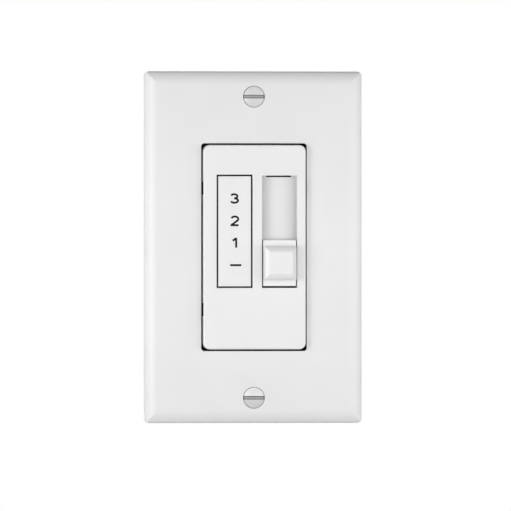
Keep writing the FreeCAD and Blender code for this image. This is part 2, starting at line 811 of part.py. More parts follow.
def make_detent_spring():
    body = new_body("detent_spring")
    thick, outer = s.detent_spring_thickness, detent_radius
    inner = outer - thick
    crest = deck_back + s.detent_depth - s.detent_clearance
    base = carriage_back + s.spring_floor
    half = s.detent_spring_length / 2
    foot = half - s.detent_spring_foot
    outer_half, outer_rise = CHORD_HALF * outer, CHORD_RISE * outer
    inner_half, inner_rise = CHORD_HALF * inner, CHORD_RISE * inner
    leaf = Profile(body, "YZ_Plane", slot_x)
    leaf.outline([
        (-base, knob_z - half), (-base, knob_z - foot),
        (inner_rise + thick - crest, knob_z - inner_half, inner, -1),
        (inner_rise + thick - crest, knob_z + inner_half),
        (-base, knob_z + foot), (-base, knob_z + half),
        (-base - thick, knob_z + half), (-base - thick, knob_z + foot),
        (outer_rise - crest, knob_z + outer_half, outer, 1),
        (outer_rise - crest, knob_z - outer_half),
        (-base - thick, knob_z - foot), (-base - thick, knob_z - half),
    ])
    pad(leaf, s.detent_spring_width, symmetric=True)
    return body


def make_wiper_contact():
    body = new_body("wiper_contact")
    thick, seat = s.wiper_thickness, s.stem_reach
    touch = -track_front - s.wiper_gap
    tip = knob_z + s.wiper_reach
    end = tip + s.wiper_curl
    leaf = Profile(body, "YZ_Plane", slot_x)
    leaf.outline([
        (seat, knob_z - s.wiper_base), (seat + thick, knob_z - s.wiper_base),
        (seat + thick, knob_z - thick), (touch, tip), (touch - s.wiper_curl / 2, end),
        (touch - thick - s.wiper_curl / 2, end), (touch - SLANT_SHARE * thick, tip), (seat, knob_z),
    ])
    pad(leaf, s.wiper_width, symmetric=True)
    split = Profile(body, "XZ_Plane", -seat)
    split.rectangle(slot_x - s.wiper_split / 2, knob_z + s.wiper_split,
                    slot_x + s.wiper_split / 2, end + s.wiper_split)
    pocket(split, s.board_depth)
    hole = Profile(body, "XZ_Plane", -seat)
    pocket(hole.square(slot_x, knob_z - s.wiper_base / 2, s.stem_peg + s.pin_gap), thick)
    return body


# Yoke and housing

def make_mounting_yoke():
    body = new_body("mounting_yoke")
    half_x = housing_half_width + s.tab_gap
    half_z = bezel_height / 2 + s.yoke_border
    corner = s.yoke_corner_radius
    frame = Profile(body, "XZ_Plane")
    pad(frame.rectangle(-half_x, -half_z, half_x, half_z, corner), s.yoke_thickness)
    end_z = plate_half_height - s.plate_rim - s.strap_gap
    ear_z = end_z - s.ear_height
    strap = Profile(body, "XZ_Plane")
    pad(strap.rectangle(-s.strap_width / 2, -end_z, s.strap_width / 2, end_z), s.yoke_thickness)
    ears = Profile(body, "XZ_Plane")
    ears.rectangle(-s.ear_width / 2, ear_z, s.ear_width / 2, end_z, corner)
    ears.rectangle(-s.ear_width / 2, -end_z, s.ear_width / 2, -ear_z, corner)
    pad(ears, s.yoke_thickness)
    ground = Profile(body, "XZ_Plane")
    ground.rectangle(s.ground_x - s.ground_tab / 2, ground_z - s.ground_tab / 2,
                     s.ground_x + s.ground_tab / 2, ground_z + s.ground_tab / 2, corner)
    pad(ground, s.yoke_thickness)

    # Four tabs are bent back along the housing, each with a window for a lug.
    tab_outer = half_x + s.yoke_thickness
    for z in (tab_z, -tab_z):
        tabs = Profile(body, "XY_Plane", z)
        for side in (1, -1):
            tabs.outline([
                (side * cavity_half_width, -s.yoke_thickness), (side * tab_outer, -s.yoke_thickness),
                (side * tab_outer, s.tab_reach), (side * half_x, s.tab_reach), (side * half_x, 0),
                (side * cavity_half_width, 0),
            ])
        pad(tabs, s.tab_height, symmetric=True)
    fillet(body, s.tab_bend_radius, both(at_depth(s.yoke_thickness), beyond_x(tab_outer)))
    windows = Profile(body, "YZ_Plane")
    for z in (tab_z, -tab_z):
        windows.rectangle(-window_front, z - s.tab_window_height / 2,
                          -window_back, z + s.tab_window_height / 2)
    pocket(windows, 3 * tab_outer, symmetric=True)

    holes = Profile(body, "XZ_Plane", s.yoke_thickness)
    for sign in (1, -1):
        holes.circle(0, sign * s.box_screw_spacing / 2, s.box_screw_hole)
        holes.circle(0, sign * plate_screw_z, s.plate_screw_shank + s.thread_gap)
        for side in (1, -1):
            slit = side * (s.strap_width / 2 + s.ear_slit / 2)
            low, high = ear_z + s.ear_neck, end_z - s.ear_neck
            edges = (low, high) if sign > 0 else (-high, -low)
            holes.rectangle(slit - s.ear_slit / 2, edges[0], slit + s.ear_slit / 2, edges[1])
    holes.circle(s.ground_x, ground_z, s.ground_shank + s.thread_gap)
    pocket(holes, s.yoke_thickness)

    window = Profile(body, "XZ_Plane", s.yoke_thickness)
    window_half = s.stem_width / 2 + s.window_gap
    window_end = s.stem_length / 2 + s.window_gap
    window.rectangle(slot_x - window_half, knob_z - window_end,
                     slot_x + window_half, knob_z + knob_travel + window_end)
    leg_half = s.snap_width / 2 + s.snap_gap
    inner, outer = bezel_inner_x - s.snap_gap, bezel_width / 2 + s.snap_hook + s.snap_gap
    for z in snap_heights():
        window.rectangle(inner, z - leg_half, outer, z + leg_half)
        window.rectangle(-outer, z - leg_half, -inner, z + leg_half)
    pocket(window, s.yoke_thickness)
    return body


def make_housing():
    body = new_body("housing")
    half_x, half_z = housing_half_width, housing_half_height
    shell = Profile(body, "XZ_Plane", housing_back)
    pad(shell.rectangle(-half_x, -half_z, half_x, half_z, s.housing_corner_radius), -housing_back)
    fillet(body, s.housing_back_edge, at_depth(housing_back))
    # The cavity steps inwards on the right to leave the terminal block.
    cavity = Profile(body, "XZ_Plane")
    cavity.outline([
        (-cavity_half_width, -cavity_half_height), (cavity_half_width, -cavity_half_height),
        (cavity_half_width, -block_half_height), (block_face, -block_half_height),
        (block_face, block_half_height), (cavity_half_width, block_half_height),
        (cavity_half_width, cavity_half_height), (-cavity_half_width, cavity_half_height),
    ])
    pocket(cavity, -cavity_floor)
    bay_front = terminal_front + s.bay_gap
    bays = Profile(body, "XZ_Plane", bay_front)
    for z in (bay_z, -bay_z):
        bays.rectangle(bay_floor, z - s.bay_height / 2, half_x + s.housing_wall, z + s.bay_height / 2)
    pocket(bays, bay_front - housing_back)
    panel = Profile(body, "XZ_Plane", housing_back + s.housing_panel_depth)
    panel_x, panel_z = half_x - s.housing_panel_inset, half_z - s.housing_panel_inset
    panel.rectangle(-panel_x, -panel_z, block_face, panel_z, s.housing_corner_radius)
    pocket(panel, s.housing_panel_depth)

    # The board stands on four ledges and is held by a catch at each end.
    ledges = Profile(body, "XZ_Plane", cavity_floor)
    inner_z = cavity_half_height - s.board_ledge
    for left, right in ((-cavity_half_width, s.board_ledge - cavity_half_width),
                        (board_right - s.board_ledge, board_right)):
        ledges.rectangle(left, inner_z, right, cavity_half_height)
        ledges.rectangle(left, -cavity_half_height, right, -inner_z)
    pad(ledges, board_back - cavity_floor)
    catches = Profile(body, "YZ_Plane", (board_left + board_right) / 2)
    hold = s.board_depth - s.pin_gap
    for sign in (1, -1):
        wall = sign * cavity_half_height
        catches.outline([(hold, wall), (hold, wall - sign * s.board_catch),
                         (hold - s.board_catch_length, wall)])
    pad(catches, s.board_catch_width, symmetric=True)

    # Openings through the block's wall, for the terminal's tab and the end of its screw.
    relief = s.terminal_screw_shank + 2 * s.screw_gap
    passages = Profile(body, "YZ_Plane", bay_floor)
    for z in (bay_z, -bay_z):
        passages.square(-terminal_depth, z, relief)
        passages.rectangle(s.board_depth - s.terminal_tab_thickness - s.pin_gap,
                           z - s.terminal_tab_width / 2 - s.pin_gap,
                           s.board_depth + s.pin_gap, z + s.terminal_tab_width / 2 + s.pin_gap)
    pocket(passages, s.terminal_block_wall)

    lug_half = s.tab_window_height / 2 - s.tab_gap
    lug_back = -window_back - s.tab_gap
    for z in (tab_z, -tab_z):
        lugs = Profile(body, "XY_Plane", z)
        for side in (1, -1):
            lugs.outline([(side * half_x, lug_back - s.lug_length),
                          (side * (half_x + s.lug_rise), lug_back), (side * half_x, lug_back)])
        pad(lugs, 2 * lug_half, symmetric=True)
    return body


def make_ground_screw():
    body = new_body("ground_screw")
    half, z = s.ground_head / 2, ground_z
    slant = half / tangent(as_size(HEX_ANGLE))
    head = Profile(body, "XZ_Plane", -s.ground_head_height)
    head.outline([(s.ground_x + dx, z + dz) for dx, dz in (
        (-2 * slant, 0), (-slant, -half), (slant, -half), (2 * slant, 0), (slant, half), (-slant, half))])
    pad(head, s.ground_head_height)
    shank = Profile(body, "XZ_Plane")
    pad(shank.circle(s.ground_x, z, s.ground_shank), s.yoke_thickness + s.ground_tip)
    slot = Profile(body, "XZ_Plane", -s.ground_head_height / 2)
    slot.rectangle(s.ground_x - s.ground_head, z - s.screw_slot / 2,
                   s.ground_x + s.ground_head, z + s.screw_slot / 2)
    pocket(slot, s.ground_head_height / 2)
    return body


def make_terminal(label, z):
    body = new_body(label)
    half = s.bay_height / 2 - s.bay_gap
    plate = Profile(body, "YZ_Plane", bay_floor)
    plate.rectangle(-terminal_front, z - half, s.terminal_depth - terminal_front, z + half)
    pad(plate, s.terminal_thickness)
    tab = Profile(body, "XZ_Plane", board_front)
    tab.rectangle(board_right - s.terminal_tab_lap, z - s.terminal_tab_width / 2,
                  bay_floor, z + s.terminal_tab_width / 2)
    pad(tab, s.terminal_tab_thickness)
    hole = Profile(body, "YZ_Plane", bay_floor + s.terminal_thickness)
    pocket(hole.circle(-terminal_depth, z, s.terminal_screw_shank + s.thread_gap),
           s.terminal_thickness)
    return body


def make_terminal_screws():
    body = new_body("upper_terminal_screw")
    z, shank, head = bay_z, s.terminal_screw_shank, s.terminal_screw_head
    tip = block_face + s.terminal_block_wall / 2
    under = bay_floor + s.terminal_thickness + s.terminal_screw_lift
    face = under + s.terminal_screw_head_height
    turned = Profile(body, "XZ_Plane", terminal_depth).axis((tip, z), (face, z))
    turned.outline([
        (tip, z), (face, z), (face, z + head / 2 - s.terminal_screw_head_height / 2),
        (face - s.terminal_screw_head_height / 2, z + head / 2), (under, z + head / 2),
        (under, z + shank / 2), (tip, z + shank / 2),
    ])
    revolve(turned)
    slot = Profile(body, "YZ_Plane", face)
    slot.rectangle(-terminal_depth - head, z - s.terminal_screw_slot / 2,
                   head - terminal_depth, z + s.terminal_screw_slot / 2)
    pocket(slot, s.terminal_screw_head_height / 2)
    return group("terminal_screws", [body, mirror_image(body, ALONG_Z)])


# Contact board

large_capacitor_x = board_left + s.capacitor_margin + s.large_capacitor_width / 2
small_capacitor_x = (board_left + s.capacitor_margin + s.large_capacitor_width + s.capacitor_space
                     + s.small_capacitor_width / 2)
large_pin_z = s.large_capacitor_length / 2 - s.pin_inset
small_pin_z = s.small_capacitor_length / 2 - s.pin_inset
resistor_z = s.large_capacitor_length / 2 + s.resistor_space + s.resistor_diameter / 2
resistor_x = large_capacitor_x


def make_contact_board():
    body = new_body("contact_board")
    blank = Profile(body, "XZ_Plane", board_back)
    pad(blank.rectangle(board_left, -board_half_height, board_right, board_half_height),
        s.board_thickness)
    holes = Profile(body, "XZ_Plane", board_front)
    for sign in (1, -1):
        holes.square(large_capacitor_x, sign * large_pin_z, s.pin_width + 2 * s.pin_gap)
        holes.square(small_capacitor_x, sign * small_pin_z, s.pin_width + 2 * s.pin_gap)
        for side in (1, -1):
            holes.square(resistor_x + side * s.resistor_pitch / 2, sign * resistor_z,
                         s.pin_width + 2 * s.pin_gap)
    pocket(holes, s.board_thickness)
    return body


def make_contact_tracks():
    body = new_body("contact_tracks")
    finger = (s.wiper_width + s.wiper_split) / 4
    half, half_pad = s.track_width / 2, s.track_pad_length / 2
    touch = knob_z + s.wiper_reach
    tracks = Profile(body, "XZ_Plane", board_front)
    tracks.rectangle(slot_x - finger - half, touch - half_pad,
                     slot_x - finger + half, touch + knob_travel + half_pad)
    for position in range(1, SPEEDS + 1):
        z = touch + position * detent_pitch
        tracks.rectangle(slot_x + finger - half, z - half_pad, slot_x + finger + half, z + half_pad)
    pad(tracks, s.track_thickness)
    return body


def make_capacitor(label, x, width, length, pin_z):
    body = new_body(label)
    back = board_back - s.capacitor_height
    case = Profile(body, "XZ_Plane", back)
    pad(case.rectangle(x - width / 2, -length / 2, x + width / 2, length / 2), s.capacitor_height)
    chamfer(body, s.capacitor_edge, at_depth(back))
    pins = Profile(body, "XZ_Plane", board_back)
    for z in (pin_z, -pin_z):
        pins.square(x, z, s.pin_width)
    pad(pins, s.board_thickness + s.pin_reach)
    return body


def make_bleed_resistors():
    body = new_body("upper_resistor")
    half, reach, wire = s.resistor_length / 2, s.resistor_pitch / 2, s.pin_width / 2
    middle = s.resistor_diameter / 2 - board_back
    barrel = Profile(body, "YZ_Plane", resistor_x)
    pad(barrel.circle(middle, resistor_z, s.resistor_diameter), s.resistor_length, symmetric=True)
    # A bent lead at each end reaches through the board.
    leads = Profile(body, "XY_Plane", resistor_z)
    for side in (1, -1):
        start, inner, outer = (resistor_x + side * length for length in (half, reach - wire, reach + wire))
        end = -board_front - s.pin_reach
        leads.outline([(start, middle - wire), (inner, middle - wire), (inner, end), (outer, end),
                       (outer, middle + wire), (start, middle + wire)])
    pad(leads, s.pin_width, symmetric=True)
    return group("bleed_resistors", [body, mirror_image(body, ALONG_Z)])


nodes = [
    make_wall_plate(),
    make_wall_plate_screws(),
    make_bezel(),
    make_scale_insert(),
    make_slider_knob(),
    make_slide_deck(),
    make_slide_carriage(),
    make_detent_spring(),
    make_wiper_contact(),
    make_mounting_yoke(),
    make_ground_screw(),
    make_housing(),
    make_terminal("line_terminal", bay_z),
    make_terminal("load_terminal", -bay_z),
    make_terminal_screws(),
    make_contact_board(),
    make_contact_tracks(),
    make_capacitor("capacitor_large", large_capacitor_x, s.large_capacitor_width,
                   s.large_capacitor_length, large_pin_z),
    make_capacitor("capacitor_small", small_capacitor_x, s.small_capacitor_width,
                   s.small_capacitor_length, small_pin_z),
    make_bleed_resistors(),
]

doc.recompute()
failed = [item.Label for item in doc.Objects if {"Invalid", "Error"} & set(item.State)]
failed += [node.Label for node in nodes if node.Shape.isNull() or not node.Shape.isValid()]
if failed:
    raise RuntimeError(f"these did not build: {failed}")

os.makedirs("parts", exist_ok=True)
for node in nodes:
    node.Shape.exportStep(f"parts/{node.Label}.step")
    print(f"{node.Label}: {len(node.Shape.Solids)} solids, {node.Shape.Volume:.1f} mm3")
print(f"knob travel {knob_travel.value:.3f} mm")
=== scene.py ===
import math

import bpy
from mathutils import Matrix, Vector


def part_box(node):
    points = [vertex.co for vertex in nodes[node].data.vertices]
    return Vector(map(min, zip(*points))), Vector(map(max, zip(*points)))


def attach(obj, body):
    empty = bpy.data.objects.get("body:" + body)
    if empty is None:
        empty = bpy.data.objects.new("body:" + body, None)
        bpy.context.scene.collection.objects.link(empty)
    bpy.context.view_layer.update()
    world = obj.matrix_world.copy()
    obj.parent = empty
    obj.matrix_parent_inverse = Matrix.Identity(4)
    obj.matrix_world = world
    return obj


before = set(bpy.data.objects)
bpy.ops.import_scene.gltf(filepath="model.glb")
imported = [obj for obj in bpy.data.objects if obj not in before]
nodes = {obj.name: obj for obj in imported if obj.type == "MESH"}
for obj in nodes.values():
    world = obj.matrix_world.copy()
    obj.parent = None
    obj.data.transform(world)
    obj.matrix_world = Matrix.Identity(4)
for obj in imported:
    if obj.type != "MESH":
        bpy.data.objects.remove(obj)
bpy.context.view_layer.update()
scene = bpy.context.scene
scene.view_settings.view_transform = "Standard"
mm = 0.001
print("frame loaded:", len(nodes), "pieces")

# Faces and axes of the pieces, in millimetres
plateFace, bezelFace, deckFace = (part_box(name)[0].y / mm for name in ("wall_plate", "bezel", "slide_deck"))
screwLow, screwHigh = (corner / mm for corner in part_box("wall_plate_screws"))
knobLow, knobHigh = (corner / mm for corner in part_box("slider_knob"))
insertLow, insertHigh = (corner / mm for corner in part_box("scale_insert"))
screwRadius = 3.45
screwRise = screwHigh.z - screwRadius
slotMiddle = (knobLow.x + knobHigh.x) / 2
wallPlane = 0


# Depths behind a face, up to the plane of the wall or to a given depth
def behind(face, start, end=None):
    return (face + start, wallPlane if end is None else face + end)


# Shader maths: a socket that takes part in expressions
class Wire:
    def __init__(self, tree, socket=None):
        self.tree = tree
        self.socket = socket

    def node(self, kind, settings=None, inputs=None, output=0):
        made = self.tree.nodes.new(kind)
        for name, value in (settings or {}).items():
            if name == "stops":
                fillRamp(made.color_ramp, value)
            else:
                setattr(made, name, value)
        for name, value in (inputs or {}).items():
            if isinstance(value, Wire):
                self.tree.links.new(value.socket, made.inputs[name])
            else:
                made.inputs[name].default_value = value
        return Wire(self.tree, made.outputs[output])

    def math(self, operation, first, second=0.0):
        return self.node("ShaderNodeMath", {"operation": operation}, {0: first, 1: second})

    def between(self, low, high):
        return self.math("GREATER_THAN", self, low) * self.math("LESS_THAN", self, high)

    def __add__(self, other):
        return self.math("ADD", self, other)

    def __radd__(self, other):
        return self.math("ADD", other, self)

    def __sub__(self, other):
        return self.math("SUBTRACT", self, other)

    def __rsub__(self, other):
        return self.math("SUBTRACT", other, self)

    def __mul__(self, other):
        return self.math("MULTIPLY", self, other)

    def __rmul__(self, other):
        return self.math("MULTIPLY", other, self)

    def __abs__(self):
        return self.math("ABSOLUTE", self)


def fillRamp(ramp, stops):
    for element, (position, colour) in zip(ramp.elements, stops):
        element.position = position
        element.color = colour


def rgba(colour):
    return (*colour, 1.0)


# A material with its shader ready: gives back the material, the wire to build with and the shader's node
def newMaterial(name, **fixed):
    material = bpy.data.materials.new(name)
    material.use_nodes = True
    tree = material.node_tree
    tree.nodes.clear()
    shader = tree.nodes.new("ShaderNodeBsdfPrincipled")
    output = tree.nodes.new("ShaderNodeOutputMaterial")
    tree.links.new(shader.outputs[0], output.inputs["Surface"])
    for socket, value in fixed.items():
        shader.inputs[socket.replace("_", " ")].default_value = value
    return material, Wire(tree), shader


def plug(shader, socket, wire):
    wire.tree.links.new(wire.socket, shader.inputs[socket])


# Object coordinates, stretched by a Mapping node
def place(wire, stretch=(1, 1, 1)):
    point = wire.node("ShaderNodeTexCoord", output="Object")
    return wire.node("ShaderNodeMapping", inputs={"Vector": point, "Scale": stretch})


# A noise whose features are about size metres across, as a value around 0.5
def grain(wire, size, detail=3.0, stretch=(1, 1, 1), rough=0.55):
    return wire.node("ShaderNodeTexNoise", inputs={
        "Vector": place(wire, stretch), "Scale": 1.0 / size, "Detail": detail, "Roughness": rough})


# The Mix node's sockets for colours have no names of their own
mixSockets = {"first": 6, "second": 7, "result": 2}


def mixColour(wire, factor, first, second):
    over = second if isinstance(second, Wire) else rgba(second)
    inputs = {"Factor": factor, mixSockets["first"]: rgba(first), mixSockets["second"]: over}
    return wire.node("ShaderNodeMix", {"data_type": "RGBA"}, inputs, output=mixSockets["result"])


def bumped(wire, height, strength, depth, under=None):
    inputs = {"Height": height, "Strength": strength, "Distance": depth}
    if under is not None:
        inputs["Normal"] = under
    return wire.node("ShaderNodeBump", inputs=inputs)


# Places in a piece by name, in millimetres: wide and tall are the distances from the middle planes, aside
# from the slot's middle, level and bore from the nearer plate screw's middle plane and axis, and above is
# the height over that plane
def places(wire):
    point = wire.node("ShaderNodeTexCoord", output="Object")
    split = wire.node("ShaderNodeSeparateXYZ", inputs={"Vector": point}).socket.node
    x, y, z = (Wire(wire.tree, socket) * (1 / mm) for socket in split.outputs)
    tall = abs(z)
    level = abs(tall - screwRise)
    return {"x": x, "y": y, "z": z, "wide": abs(x), "tall": tall, "aside": abs(x - slotMiddle),
            "level": level, "bore": wire.math("SQRT", x * x + level * level),
            "above": z - screwRise * wire.math("SIGN", z)}


# 1 inside any of the zones, or a zone's own share. Each zone gives limits for some of the places
def inZones(wire, zones):
    here = places(wire)
    total = 0.0
    for zone in zones.values():
        inside = zone.get("share", 1.0)
        for name, measure in here.items():
            if name in zone:
                inside = inside * measure.between(*zone[name])
        total = wire.math("MAXIMUM", inside, total)
    return total


# White mouldings: cloudy tone, a fine spark-eroded skin and a slow waviness from the mould, with painted
# shade: near-black colour in the gaps and recesses where shade falls
def whiteMoulding(name, look):
    material, wire, shader = newMaterial(name, Specular_IOR_Level=look["specular"], IOR=look["ior"])
    cloud = grain(wire, look["cloud"], detail=2.0)
    skin = grain(wire, look["skin"], detail=2.0)
    wave = grain(wire, look["wave"], detail=1.0)
    tone = mixColour(wire, cloud, look["dark"], look["light"])
    # Painted shade: inside the zones the colour goes near black, standing in for the shade in gaps and
    # recesses
    if look["paintedShade"]:
        tone = mixColour(wire, 1.0 - inZones(wire, look["paintedShade"]), look["paintedShadeTone"], tone)
    plug(shader, "Base Color", tone)
    plug(shader, "Roughness", look["roughness"] + look["roughVary"] * (skin - 0.5))
    slow = bumped(wire, wave, look["waveStrength"], look["waveDepth"])
    plug(shader, "Normal", bumped(wire, skin, look["skinStrength"], look["skinDepth"], slow))
    return material


plateLook = {
    "dark": (0.800, 0.800, 0.797), "light": (0.845, 0.845, 0.842), "cloud": 18 * mm,
    "skin": 0.16 * mm, "skinStrength": 0.10, "skinDepth": 0.010 * mm,
    "wave": 14 * mm, "waveStrength": 0.3, "waveDepth": 0.012 * mm,
    "roughness": 0.34, "roughVary": 0.10, "specular": 0.32, "ior": 1.49,
    # Painted shade: the walls of the opening and of the screw holes, below the face, are coloured near black
    # so that the gaps read as shadow
    "paintedShadeTone": (0.006, 0.006, 0.006),
    "paintedShade": {
        "opening": {"wide": (0, 17.3), "tall": (0, 33.7), "y": behind(plateFace, 0.12)},
        "screwHoles": {"bore": (0, 3.7), "y": behind(plateFace, 0.08)},
    },
}

# How far below a face the painted shade in gaps begins, what the insert's box has beyond its opening, and
# the height of the painted shade at the slot's lower end
lightEdge, insertLip, slotEndShade = 0.09, 0.8, 0.9
bezelLook = dict(
    plateLook, dark=(0.835, 0.835, 0.835), light=(0.872, 0.872, 0.872), roughness=0.38,
    # Painted shade: the bezel's flanks, ends and insert opening walls below the faces go dark, and a dark
    # band is painted at the slot's lower end as shadow
    paintedShade={
        "leftSide": {"x": (-18, -15.9), "y": behind(plateFace, 0.9)},
        "rightSide": {"x": (15.9, 18), "y": behind(plateFace, 0.1)},
        "ends": {"tall": (32.4, 34), "y": behind(plateFace, 0.1)},
        "insertOpening": {"x": (insertLow.x + insertLip, insertHigh.x - insertLip),
                          "z": (insertLow.z + insertLip, insertHigh.z - insertLip),
                          "y": behind(bezelFace, lightEdge)},
        "slotEndShade": {"aside": (0, 5.7), "z": (knobLow.z - slotEndShade, knobLow.z),
                    "y": behind(bezelFace, lightEdge, 0.4)},
    })
insertLook = dict(
    bezelLook, skin=0.11 * mm, skinStrength=0.16, roughness=0.50,
    # Painted shade: the insert's sides below the face go dark as shadow in the gap
    paintedShade={"sides": {"y": behind(bezelFace, lightEdge)}})
knobLook = dict(
    bezelLook, skin=0.13 * mm, roughness=0.28, specular=0.75,
    dark=(0.80, 0.80, 0.80), light=(0.835, 0.835, 0.835),
    # Painted shade: the flange's sides go dark as shadow in the gaps, and the parts under the bezel take
    # half-strength painted shade
    paintedShade={
        "flangeSides": {"aside": (5.28, 8), "y": behind(bezelFace, 0.4)},
        "shadeUnderBezel": {"y": behind(bezelFace, 1.6), "share": 0.55},
    })
deckLook = dict(
    bezelLook, skinStrength=0.18, roughness=0.48, dark=(0.80, 0.80, 0.80), light=(0.835, 0.835, 0.835),
    # Painted shade: all of the deck behind its face goes dark, and a dark line is painted under the slot's
    # top edge as shadow
    paintedShade={
        "below": {"y": behind(deckFace, 0.1)},
        "topShadowLine": {"aside": (0, 4.05), "z": (22.55, 24)},
    })


# Paint on steel: slight orange peel, and a clear film that varies with it
def paintedSteel(name, look):
    material, wire, shader = newMaterial(name, Coat_Roughness=look["coatRoughness"])
    peel = grain(wire, look["peel"], detail=1.0)
    cloud = grain(wire, look["cloud"], detail=3.0)
    tone = mixColour(wire, cloud, look["dark"], look["light"])
    # Painted shade: some zones of the paint are coloured darker where shade falls; the bare metal keeps its
    # own colour
    for zone, colour in look["tones"].items():
        tone = mixColour(wire, 1.0 - inZones(wire, {zone: look["zones"][zone]}), colour, tone)
    plug(shader, "Base Color", tone)
    plug(shader, "Roughness", look["roughness"] + look["roughVary"] * (cloud - 0.5))
    plug(shader, "Coat Weight", look["coat"] + look["coatVary"] * (peel - 0.5))
    if look["bare"]:
        plug(shader, "Metallic", inZones(wire, look["bare"]))
    plug(shader, "Normal", bumped(wire, peel, look["peelStrength"], look["peelDepth"]))
    return material


# Depths of the plate screws' slots, where shade is painted, and of their bare shanks, which reach past the
# ends of the screws
pastEnd = 1
slotDepth, shankDepth = (screwLow.y - pastEnd, plateFace + 0.4), (-3.4, screwHigh.y + pastEnd)
# Painted shade on the plate screws' heads: the lower half is darker, the slot's floor and sides are darker,
# and a dark ring at the rim stands for the shadow between head and countersink; the bare shank's grey is its
# own colour
screwPaintLook = {
    "dark": (0.74, 0.74, 0.732), "light": (0.83, 0.83, 0.82), "cloud": 2.4 * mm,
    "peel": 0.45 * mm, "peelStrength": 0.25, "peelDepth": 0.02 * mm,
    "roughness": 0.30, "roughVary": 0.12, "coat": 0.15, "coatVary": 0.2, "coatRoughness": 0.12,
    "zones": {
        "shadedLowerHalf": {"above": (-3.5, -0.5)},
        "slotFloorShade": {"level": (0, 0.30), "y": slotDepth},
        "slotSideShade": {"level": (0.30, 0.59), "y": slotDepth},
        "rimShadow": {"bore": (3.26, 3.6)},
        "shank": {"y": shankDepth},
    },
    "tones": {
        "shadedLowerHalf": (0.66, 0.66, 0.653), "slotFloorShade": (0.40, 0.40, 0.39), "slotSideShade": (0.16, 0.16, 0.155),
        "rimShadow": (0.27, 0.27, 0.265), "shank": (0.60, 0.60, 0.61),
    },
    "bare": {"shank": {"y": shankDepth}},
}
groundGreenLook = dict(
    screwPaintLook, dark=(0.03, 0.17, 0.07), light=(0.07, 0.31, 0.13), cloud=2.0 * mm,
    peel=0.4 * mm, peelDepth=0.015 * mm, roughness=0.34, coat=0.35, zones={}, tones={}, bare={})


# Metals: rolled lines along one direction, patches of tarnish or plating, and a spangle in the shine
def rolledMetal(name, look):
    material, wire, shader = newMaterial(name, Metallic=1.0)
    lines = grain(wire, look["line"], detail=4.0, stretch=look["stretch"])
    patch = grain(wire, look["patch"], detail=4.0)
    spangle = wire.node("ShaderNodeTexVoronoi", {"feature": "F1"}, {
        "Vector": place(wire), "Scale": 1.0 / look["spangle"]}, output="Color")
    shine = wire.node("ShaderNodeSeparateColor", inputs={"Color": spangle})
    tone = mixColour(wire, patch, look["dark"], look["light"])
    # Painted shade: inside the zones the colour goes near black, standing in for shade
    if look["paintedShade"]:
        tone = mixColour(wire, 1.0 - inZones(wire, look["paintedShade"]), look["paintedShadeTone"], tone)
    plug(shader, "Base Color", tone)
    rough = look["roughness"] + look["roughVary"] * (patch - 0.5) + look["lineVary"] * (lines - 0.5)
    plug(shader, "Roughness", rough + look["spangleVary"] * (shine - 0.5))
    plug(shader, "Normal", bumped(wire, lines, look["lineStrength"], look["lineDepth"]))
    return material


zincLook = {
    "dark": (0.41, 0.42, 0.44), "light": (0.55, 0.56, 0.575), "patch": 9 * mm, "spangle": 2.2 * mm,
    "spangleVary": 0.10, "line": 0.5 * mm, "stretch": (1, 1, 0.06),
    "lineVary": 0.10, "lineStrength": 0.22, "lineDepth": 0.012 * mm,
    "roughness": 0.36, "roughVary": 0.16, "paintedShade": {},
}
# Painted shade: the yoke's face under the bezel's gaps is coloured near black as shadow
yokeLook = dict(
    zincLook, paintedShadeTone=(0.01, 0.01, 0.01),
    paintedShade={"shadeUnderBezel": {"wide": (0, 18), "tall": (0, 34), "y": (-1.4, -1.2)}})
brassLook = dict(zincLook, dark=(0.56, 0.39, 0.14), light=(0.77, 0.60, 0.29), patch=3.5 * mm,
                 spangleVary=0.02, line=0.3 * mm, roughness=0.28)
screwBrassLook = dict(brassLook, dark=(0.60, 0.42, 0.16), light=(0.80, 0.63, 0.32), stretch=(1, 1, 1),
                      patch=2 * mm)
bronzeLook = dict(brassLook, dark=(0.55, 0.33, 0.17), light=(0.74, 0.50, 0.30))
springLook = dict(zincLook, dark=(0.40, 0.40, 0.41), light=(0.60, 0.60, 0.61), roughness=0.24, patch=4 * mm)
copperLook = dict(brassLook, dark=(0.55, 0.28, 0.17), light=(0.76, 0.45, 0.30), patch=2.5 * mm)


# Dark mouldings, boards and cast cases: coarse skin, dust that settles in it, slow colour drift
def coarseMoulding(name, look):
    material, wire, shader = newMaterial(name, Specular_IOR_Level=look["specular"])
    skin = grain(wire, look["skin"], detail=3.0)
    drift = grain(wire, look["drift"], detail=3.0, stretch=look["stretch"])
    clean, dusty = look["dustRange"]
    stops = [(clean, rgba((0, 0, 0))), (dusty, rgba((1, 1, 1)))]
    dust = wire.node("ShaderNodeValToRGB", {"stops": stops}, {"Fac": skin * drift * look["dustGain"]})
    tone = mixColour(wire, drift, look["dark"], look["light"])
    plug(shader, "Base Color", mixColour(wire, 1.0 - look["dust"] * dust, look["dustTone"], tone))
    plug(shader, "Roughness", look["roughness"] + look["roughVary"] * (skin - 0.5))
    plug(shader, "Normal", bumped(wire, skin, look["skinStrength"], look["skinDepth"]))
    return material


